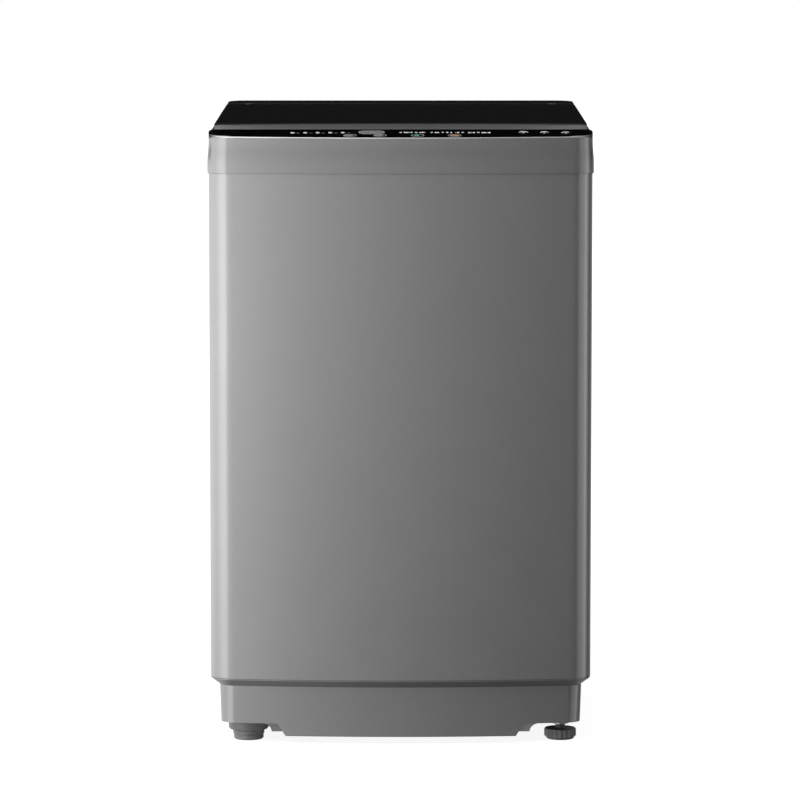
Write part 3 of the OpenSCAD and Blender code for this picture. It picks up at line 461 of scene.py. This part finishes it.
cabinet_skin()

# CAD nodes that are shown as they are: [node, material, bevel in mm]
for node, mat, bevel in (
        ("base_frame", m_base, 1.0), ("top_frame", m_frame, 0.7), ("rear_panel", m_zinc, 0),
        ("cabinet_screws", m_steel, 0.3), ("cord_gland", m_blackp, 0.5), ("control_panel", m_panel, 0.3),
        ("display_window", m_window, 0.4), ("indicator_lenses", m_lens, 0.2), ("control_board", m_board, 0.3),
        ("hinge_pins", m_steel, 0.3), ("detergent_housing", m_white, 0.5), ("inlet_valve", m_white, 0.5),
        ("inlet_hose", m_hose, 0), ("level_switch", m_white, 0.4), ("lid_switch", m_white, 0.4),
        ("capacitor", m_cap, 0.8), ("hanger_brackets", m_zinc, 0.4), ("suspension_rods", m_steel, 0.4),
        ("drain_outlet", m_foot, 0.6), ("front_left_foot", m_pad, 0.7), ("rear_feet", m_pad, 0.7),
        ("level_foot_pad", m_foot, 0.7), ("level_foot_screw", m_foot, 0.7),
        ("detergent_drawer", m_drawer, 0.6)):
    dress(node, mat, bevel)

# ---------------------------------------------------------------- tub group, basket and drive

for node, mat, bevel in (
        ("outer_tub", m_white, 0.7), ("tub_cover", m_white, 0.8), ("tub_support", m_zinc, 0.5),
        ("clutch_housing", m_castal, 1.0), ("spin_bearings", m_steel, 0.3), ("drain_valve", m_white, 0.7),
        ("drain_actuator", m_actuator, 1.5), ("shaft_seal", m_rubber, 0.5), ("spring_cups", m_hose, 0.6),
        ("drive_belt", m_rubber, 0.4), ("tub_fasteners", m_steel, 0.3), ("basket_base", m_pale, 1.0),
        ("basket_flange", m_castal, 1.2), ("spin_shaft", m_steel, 0.2), ("lint_filters", m_pale, 0.6),
        ("pulsator_screw", m_steel, 0.4), ("wash_shaft", m_steel, 0.3), ("clutch_pulley", m_castal, 0.6),
        ("input_shaft", m_steel, 0.3), ("motor_pulley", m_castal, 0.5), ("brake_lever", m_zinc, 0.5),
        ("pull_rod", m_actuator, 0.5)):
    dress(node, mat, bevel)
dress("motor", m_motor, 1.5, segments=3)
dress("balance_ring", m_pale, 2.5, segments=4)


def basket_wall():
    """Steel wall with rows of drain holes, closed round each hole and along both rims."""
    radii = (223.5, 222.9)
    z0, z1 = 224.0, 742.0
    cols, rows, hole = 60, 22, 2.1
    step, dz = 2 * pi / cols, (z1 - z0) / rows
    corners = ((0, 0), (0.5, 0), (1, 0), (1, 0.5), (1, 1), (0.5, 1), (0, 1), (0, 0.5))
    round_hole = [radians(-135 + 45 * k) for k in range(8)]
    verts, faces = [], []

    def put(points):
        """Adds (angle, height) points on the outer and the inner face and gives their numbers."""
        start, n = len(verts), len(points)
        for r in radii:
            verts.extend((r * cos(t), r * sin(t), z) for t, z in points)
        return list(range(start, start + n)), list(range(start + n, start + 2 * n))

    for i in range(cols):
        for j in range(rows):
            outer, inner = put([((i + a) * step, z0 + (j + b) * dz) for a, b in corners])
            if 1 < j < rows - 2 and (i + j) % 2 == 0:
                tm, zm = (i + 0.5) * step, z0 + (j + 0.5) * dz
                near, far = put([(tm + hole / radii[0] * cos(a), zm + hole * sin(a)) for a in round_hole])
                for k in range(8):
                    m = (k + 1) % 8
                    faces += [(outer[k], outer[m], near[m], near[k]), (inner[m], inner[k], far[k], far[m]),
                              (near[k], near[m], far[m], far[k])]
            else:
                faces += [tuple(outer), tuple(inner[::-1])]
            for row, first in ((0, 0), (rows - 1, 4)):
                if j == row:
                    faces += [(outer[k + 1], outer[k], inner[k], inner[k + 1]) for k in (first, first + 1)]
    return new_mesh("basket_drum", verts, faces, m_stainless, "basket", ["basket_wall"], 40)


basket_wall()


def pulsator():
    """Wash plate with six swept blades that rise to the cap."""
    rings, seg, blades = 60, 288, 6
    r_hub, r_max = 17, 173.6
    r_rim, z_plate, z_cap = 166, 244, 267.5
    turn = [2 * pi * j / seg for j in range(seg)]
    loops = []
    for i in range(rings + 1):
        r = r_hub + (r_max - r_hub) * i / rings
        plate = z_plate + 14 * math.exp(-((r - 20) / 34) ** 2) + 1.2 * cos((r - 60) / 18)
        if r > r_rim:
            plate -= (r - r_rim) ** 2 * 0.11
        # how far a blade has risen at this radius, from the hub and from the rim
        span = max(0.0, min(1.0, (r - 20) / 25)) * max(0.0, min(1.0, (165 - r) / 40))
        height = 20 * span * (1 - 0.35 * r / 170)
        blade = [height * cos(blades / 2 * (t + 0.0018 * (r - 20))) ** 18 for t in turn]
        loops.append([(r * cos(t), r * sin(t), min(plate + b, z_cap)) for t, b in zip(turn, blade)])
    below = ((r_max, 236.5), (168, 234.5), (r_rim, 240), (30, 240), (24, 232.3), (8.05, 232.3), (8.05, 254),
             (16, 256))
    under = [[(r * cos(t), r * sin(t), z) for t in turn] for r, z in below]
    return loops_mesh("wash_plate", loops + under, m_pale, "agitator", ["pulsator"],
                      wrap=True, smooth=50)


pulsator()


def tube_along(path, radius, seg=20, up=Vector((0, 0, 1))):
    """Loops of a tube; radius(k) may change along it."""
    loops = []
    turn = [2 * pi * j / seg for j in range(seg)]
    m = len(path)
    for k, p in enumerate(path):
        d = (Vector(path[min(k + 1, m - 1)]) - Vector(path[max(k - 1, 0)])).normalized()
        side = d.cross(up).normalized() if abs(d.dot(up)) < 0.99 else Vector((1, 0, 0))
        top = side.cross(d)
        r = radius(k)
        loops.append([tuple(Vector(p) + side * r * cos(t) + top * r * sin(t)) for t in turn])
    return loops


def catmull(points, per):
    """A smooth curve through the points, in so many steps from each to the next."""
    out = []
    P = [Vector(p) for p in points]
    for i in range(len(P) - 1):
        a, b, c, d = P[max(i - 1, 0)], P[i], P[i + 1], P[min(i + 2, len(P) - 1)]
        for k in range(per):
            t = k / per
            out.append(0.5 * ((2 * b) + (c - a) * t + (2 * a - 5 * b + 4 * c - d) * t * t
                              + (3 * b - a - 3 * c + d) * t ** 3))
    return out + [P[-1]]


# The drain hose, from the drain valve on the tub down to the spigot at the back
STEPS, CUFF, PITCH = 14, 14.3, 3.5      # steps between points, radius of the smooth ends, steps per rib
route = [(165, 48, 142), (165, 70, 142), (164, 95, 138), (162, 120, 127), (159, 145, 110), (156, 168, 91),
         (153, 190, 74), (151, 212, 63), (150, 226, 60), (150, 238, 60)]
fine = catmull(route, STEPS)


def ribs(k):
    """Radius of the bellows at step k."""
    if k < STEPS or k > len(fine) - STEPS - 2:
        return CUFF
    return 12.6 + 1.9 * (0.5 + 0.5 * cos(2 * pi * k / PITCH)) ** 0.7


hose = loops_mesh("drain_bellows", tube_along(fine, ribs), m_hose, None, ["drain_hose"])
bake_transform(hose)

# The four suspension springs, each round its rod
STRUT, COIL_R, WIRE_R = 203, 15.3, 1.5
COIL_LOW, COIL_LENGTH = 252, 68
TURNS, PER_TURN = 5, 20
for n, (sx, sy) in enumerate(((1, 1), (-1, 1), (-1, -1), (1, -1))):
    coil = []
    for k in range(TURNS * PER_TURN + 1):
        t = 2 * pi * k / PER_TURN
        coil.append(Vector((sx * STRUT + COIL_R * cos(t), sy * STRUT + COIL_R * sin(t),
                            COIL_LOW + COIL_LENGTH * k / (TURNS * PER_TURN))))
    wire = tube_along(coil, lambda k: WIRE_R, 8, Vector((0.01, 0, 1)))
    spring = loops_mesh(f"strut_spring_{n + 1}", wire, m_steel, None,
                        ["suspension_springs"] if n == 0 else ())
    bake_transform(spring)

# ---------------------------------------------------------------- lid

LID_HALF = 265.5                        # half the lid's width
SEAT = 2.0                              # the underside of the glass over the hinge axis


def glass_front(x):
    """The pane's front edge curves a little towards the user at its ends."""
    return -404 - 11.0 * (x / LID_HALF) ** 2


def pane_outline(inset, n=60):
    xs = [LID_HALF - inset - 2 * (LID_HALF - inset) * k / n for k in range(n + 1)]
    front = [(x, glass_front(x) + inset) for x in reversed(xs)]
    back = [(x, -14 - inset) for x in xs]
    return front + back


def in_lid(loops):
    """Loops in the lid's own frame, put in place."""
    return [[lid_point(*p) for p in l] for l in loops]


loops_mesh("lid_pane", in_lid(slab(pane_outline, SEAT, LID_TOP, 0.6, 0.3)), m_glass, "lid",
           ["lid_glass"], smooth=30)


def grip_strip(n=60):
    """The strip along the lid's front edge: it meets the glass behind and rounds down at its two ends."""
    front, seat_back, low = -427, -399.5, -6
    loops = []
    for k in range(n + 1):
        x = -LID_HALF + 2 * LID_HALF * k / n
        end = min(1.0, (LID_HALF - abs(x)) / 3.0)
        e = 1 - sqrt(max(0.0, 1 - (1 - end) ** 2))
        g = glass_front(x) - 0.25
        f = front + 1.6 * e
        h = 5.1 - 0.6 * (x / LID_HALF) ** 2
        prof = fillet([(f + 3, low, 0.8), (f, low + 0.8, 0.8), (f, -1.2 - e, 1.0),
                       (g - 2.2, h - 0.3 - 0.5 * e, 0.7), (g, h - e, 0.4), (g, SEAT + 0.05, 0.1),
                       (seat_back, SEAT, 0.1), (seat_back, low, 0.3)], 4)
        loops.append([lid_point(x, u, v) for u, v in prof])
    return loops_mesh("lid_grip", loops, m_grip, "lid", ["lid_handle"], smooth=30)


grip_strip()
dress("lid_frame", m_blackp, 0.6)


def deck_outline(inset):
    """The fixed cover behind the hinge, in the lid's frame."""
    return rrect(-LID_HALF, LID_HALF, 8, 71.1, 2, 26, inset, 10)


loops_mesh("deck_cover", in_lid(slab(deck_outline, -7.9, LID_TOP, 0.6)), m_deck, "cabinet",
           ["rear_deck"], smooth=30)

# ---------------------------------------------------------------- panel marks and keys

PANEL_BACK, PANEL_HIGH = -229.5, 878.3          # the panel's straight rear edge
PANEL_LOW = 867.4                               # its front edge, in the middle


def front_y(x):
    """The bowed front of the cabinet."""
    return CAB[1] + BOW - sqrt(BOW * BOW - x * x)


def panel_point(x, y, lift=0.0):
    """A point over the sloping panel; its front edge rises a little towards the ends."""
    yf = front_y(x)
    e = PANEL_LOW + (x / 229) ** 2
    s = (PANEL_HIGH - e) / (PANEL_BACK - yf)
    a = atan(s)
    z = e + (y - yf) * s
    return (x, y - lift * sin(a), z + lift * cos(a))


def panel_edge(n=96, half=250, straight=236):
    """The black face runs on over the lip in front of its seat, down to the rounded front edge."""
    loops = []
    for k in range(n + 1):
        x = -half + 2 * half * k / n
        y = front_y(x)
        t = max(0.0, (abs(x) - straight) / (half - straight))
        a, b = y + 1.5 + 2.6 * t * t, y + 4.8
        section = ((a, -0.3), (a, 0.02), (a + 0.5, 0.12), (b, 0.1), (b, -0.3))
        loops.append([panel_point(x, v, lift) for v, lift in section])
    return loops_mesh("panel_edge", loops, m_panel, "cabinet", smooth=30)


panel_edge()

# Rows on the panel, and the middle of the display
LAMP_Y, NAMES_Y, TOUCH_Y, KEY_Y = -248.5, -248, -264.5, -246
DISPLAY_X, DISPLAY_Y = -41, -247
marks = {}                                      # ink name: (ink, points, faces)


def mark(shapes, mat, lift=0.06):
    """Flat printed shapes on the panel, gathered by colour."""
    v, f = marks.setdefault(mat.name, (mat, [], []))[1:]
    for pts in shapes:
        base = len(v)
        v += [panel_point(x, y, lift) for x, y in pts]
        f.append(tuple(range(base, base + len(pts))))


def oval(cx, cy, w, d, n=36):
    """A bar with round ends."""
    r = d / 2
    out = []
    for k in range(n):
        t = 2 * pi * k / n
        out.append((cx + (w / 2 - r) * (1 if cos(t) >= 0 else -1) + r * cos(t), cy + r * sin(t)))
    return out


def ring_shapes(outer, inner):
    """The band between two outlines of equal length, as four-sided shapes."""
    n = len(outer)
    return [[outer[k], outer[(k + 1) % n], inner[(k + 1) % n], inner[k]] for k in range(n)]


def bar(cx, cy, w, d):
    left, right, front, back = cx - w / 2, cx + w / 2, cy - d / 2, cy + d / 2
    return [(left, front), (right, front), (right, back), (left, back)]


# Five small symbols at the left, each around its lamp, with thin bars between
for k in range(5):
    x = -153 + 17.8 * k
    mark(ring_shapes(oval(x, LAMP_Y, 6.0, 8.0), oval(x, LAMP_Y, 4.4, 5.6)), m_ink)
    mark([bar(x, LAMP_Y, 2.6, 3.2)], m_ink)
    mark([bar(x + 8.2, LAMP_Y - 2, 4.6, 1.6)], m_ink3)
# The face of the display and its rim
face = oval(DISPLAY_X, DISPLAY_Y, 34, 17)
mark([face], m_face, 0.05)
mark(ring_shapes(oval(DISPLAY_X, DISPLAY_Y, 37, 20), face), m_ink2)
# Four touch marks along the front, each a rim round a spot: [place, ink, spot's offset and width]
for x, ink, off, w in ((-71.5, m_ink3, -1.5, 13), (-29, m_ink3, -1.5, 13), (24, m_green, -1.5, 7),
                       (76, m_orange, 0, 13)):
    mark(ring_shapes(oval(x, TOUCH_Y, 18.5, 13.5), oval(x, TOUCH_Y, 16.5, 11.0)), m_ink2)
    mark([oval(x + off, TOUCH_Y, w, 9)], ink, 0.05)
# Programme names as plain blocks beside their lamps; now and then a block is missing, as between words
for i in range(6):
    x = 22 * i
    mark([oval(x, NAMES_Y, 3.6, 5.6)], m_ink)
    for k, (w, ink) in enumerate(((2.4, m_ink), (3.0, m_ink), (2.2, m_ink2), (2.8, m_ink))):
        if (i + k) % 5 != 4:
            mark([bar(x + 5.6 + 3.3 * k, NAMES_Y, w, 5.4 - 0.8 * ((i + k) % 2))], ink)
for name, (mat, v, f) in marks.items():
    new_mesh("panel_" + name, v, f, mat, "cabinet")


def seven_segments(cx, cy, w, h, t=1.0):
    """The seven bars of a blank digit."""
    hw, hh = w / 2, h / 2
    return [bar(cx, cy + s * hh, w - t, t) for s in (-1, 0, 1)] + \
        [bar(cx + sx * hw, cy + sy * hh / 2, t, hh - t) for sx in (-1, 1) for sy in (-1, 1)]


def flat_piece(name, shapes, lift, mat, body):
    """Printed shapes over the panel as one piece on its own body."""
    v, f = [], []
    for pts in shapes:
        f.append(tuple(range(len(v), len(v) + len(pts))))
        v += [panel_point(x, y, lift) for x, y in pts]
    return new_mesh(name, v, f, mat, body)


digits = [shape for k in (-1, 0, 1) for shape in seven_segments(DISPLAY_X + 9 * k, DISPLAY_Y, 5.4, 10.5)]
flat_piece("display_digits", digits, 0.09, m_ink2, "cabinet")


def painted_glint_crescent(cx, cy, r=6.6, n=24):
    """A painted highlight: a white crescent over a key's own sign, thickest at the top, in place of the glint
    of light on the key's rim.
    """
    def point(t, inwards):
        return (cx + (r - inwards) * cos(t), cy + 0.9 * (r - inwards) * sin(t) - 2.6)

    ends = [(pi * k / n, 0.7 + 2.0 * sin(pi * k / n)) for k in range(n + 1)]
    return [[point(t, 0), point(t2, 0), point(t2, w2), point(t, w)]
            for (t, w), (t2, w2) in zip(ends, ends[1:])]


SIGNS = {"power": lambda x, y: [bar(x, y - 2.4, 1.2, 4.0)],
         "start": lambda x, y: [[(x - 1.8, y - 4.6), (x + 2.2, y - 2.8), (x - 1.8, y - 1)]],
         "program": lambda x, y: [bar(x, y - 4.4 + 1.6 * k, 4.6, 0.8) for k in range(3)]}
# Each key's piece holds its printed sign and a painted highlight: a white crescent standing for the glint on
# its rim
for k, (key, sign) in enumerate(SIGNS.items()):
    x = 234 - 30 * k
    dress(key + "_key", m_key, 0.6, segments=3)
    flat_piece(key + "_key_sign_and_painted_glint", painted_glint_crescent(x, KEY_Y) + sign(x, KEY_Y), 0.86, m_ink, key + "_button")

# ---------------------------------------------------------------- floor, light and background


def area(name, loc, target, size, power):
    """A soft light that the camera doesn't see."""
    d = bpy.data.lights.new(name, "AREA")
    d.shape = "RECTANGLE"
    d.size, d.size_y = size
    d.energy = power
    o = bpy.data.objects.new(name, d)
    scene.collection.objects.link(o)
    o.location = loc
    o.rotation_euler = (Vector(target) - Vector(loc)).to_track_quat("-Z", "Y").to_euler()
    o.visible_camera = False
    return o


FLOOR_HALF = 60                                 # metres
floor_me = bpy.data.meshes.new("floor")
floor_corners = [(sx * FLOOR_HALF, sy * FLOOR_HALF, 0) for sx, sy in ((-1, -1), (1, -1), (1, 1), (-1, 1))]
floor_me.from_pydata(floor_corners, [], [(0, 1, 2, 3)])
floor = bpy.data.objects.new("floor", floor_me)
scene.collection.objects.link(floor)
floor.visible_glossy = False
ground = Nodes("floor")
grey = ground.ramp(ground.noise(2.0, 3), [(0.3, (0.24,) * 3), (0.7, (0.26,) * 3)])
ground.link(grey, ground.bsdf.inputs["Base Color"])
ground.bsdf.inputs["Roughness"].default_value = 0.9
ground.bsdf.inputs["Emission Color"].default_value = (1, 1, 1, 1)
ground.link(ground.remap(ground.add("ShaderNodeLightPath").outputs["Is Camera Ray"], 0.0, 0.90, 0.0, 1.0),
            ground.bsdf.inputs["Emission Strength"])
floor_me.materials.append(ground.mat)

# Soft studio surround: bright to the left, dim to the right, dark low down and behind the glass top
world = bpy.data.worlds.new("world")
scene.world = world
world.use_nodes = True
wt = world.node_tree


def wnode(kind, **values):
    """A node of the world's own tree."""
    n = wt.nodes.new(kind)
    for k, v in values.items():
        setattr(n, k, v)
    return n


def wmath(op, a, b):
    """A sum or a product of two values or numbers."""
    n = wnode("ShaderNodeMath", operation=op)
    for i, v in enumerate((a, b)):
        if isinstance(v, (int, float)):
            n.inputs[i].default_value = v
        else:
            wt.links.new(v, n.inputs[i])
    return n.outputs[0]


def wrange(v, a, b, lo, hi):
    """A smooth run from lo to hi as v runs from a to b."""
    n = wnode("ShaderNodeMapRange", interpolation_type="SMOOTHSTEP")
    for name, value in (("From Min", a), ("From Max", b), ("To Min", lo), ("To Max", hi)):
        n.inputs[name].default_value = value
    wt.links.new(v, n.inputs["Value"])
    return n.outputs["Result"]


def wramp(v, stops, top):
    """Brightness by value; top is more than the brightest stop."""
    n = wnode("ShaderNodeValToRGB")
    n.color_ramp.interpolation = "EASE"
    el = n.color_ramp.elements
    while len(el) < len(stops):
        el.new(0.5)
    for e, (pos, g) in zip(el, stops):
        e.position = pos
        e.color = (g / top,) * 3 + (1,)
    wt.links.new(v, n.inputs[0])
    return wmath("MULTIPLY", n.outputs[0], top)


# Brightness round the horizon by degrees to the right of the front: bright at the left, a window at the right
GLOW = ((-180, 1.0), (-150, 1.3), (-115, 1.95), (-82, 2.05), (-57, 2.7), (-35, 2.95), (-25, 2.9),
        (-19, 1.12), (-8, 0.85), (0, 0.61), (8, 0.435), (17, 0.30), (30, 0.19), (42, 0.22), (50, 0.62),
        (76, 0.70), (90, 1.3), (104, 0.45), (117, 0.14), (150, 0.4), (180, 1.0))
# and by height, as the sine of the angle over the horizon
HEIGHT = ((-1, 0.32), (-0.9, 0.42), (-0.75, 0.65), (-0.45, 0.60), (-0.32, 0.60), (-0.15, 1.0), (0.08, 1.0),
          (0.24, 0.40), (0.55, 0.45), (0.80, 1.9), (1, 2.2))

# The direction looked in: dx to the right, dy backwards, dz up
direction = wnode("ShaderNodeSeparateXYZ")
wt.links.new(wnode("ShaderNodeTexCoord").outputs["Generated"], direction.inputs[0])
dx, dy, dz = direction.outputs
turn = wmath("ADD", wmath("DIVIDE", wmath("ARCTAN2", dx, wmath("MULTIPLY", dy, -1.0)), 2 * pi), 0.5)
around = wramp(turn, [(0.5 + deg / 360, g) for deg, g in GLOW], 3.0)
height = wramp(wmath("ADD", wmath("MULTIPLY", dz, 0.5), 0.5), [(0.5 + h / 2, g) for h, g in HEIGHT], 2.5)
# Dark behind the body, so that the black top stays black from the front
behind = wmath("MULTIPLY", wrange(dy, 0.3, 0.6, 0.0, 1.0),
               wmath("MULTIPLY", wrange(dz, 0.005, 0.04, 0.0, 1.0), wrange(dz, 0.8, 0.92, 1.0, 0.0)))
glow = wmath("MULTIPLY", around, wmath("MULTIPLY", height, wmath("SUBTRACT", 1.0, behind)))
# The camera itself sees plain white
eye = wnode("ShaderNodeLightPath").outputs["Is Camera Ray"]
strength = wmath("ADD", eye, wmath("MULTIPLY", wmath("SUBTRACT", 1.0, eye), glow))
wt.links.new(strength, wt.nodes["Background"].inputs["Strength"])
wt.nodes["Background"].inputs["Color"].default_value = (1, 1, 1, 1)

area("key", (-2.2, -2.6, 3.0), (0, 0, 0.5), (2.0, 2.0), 25)
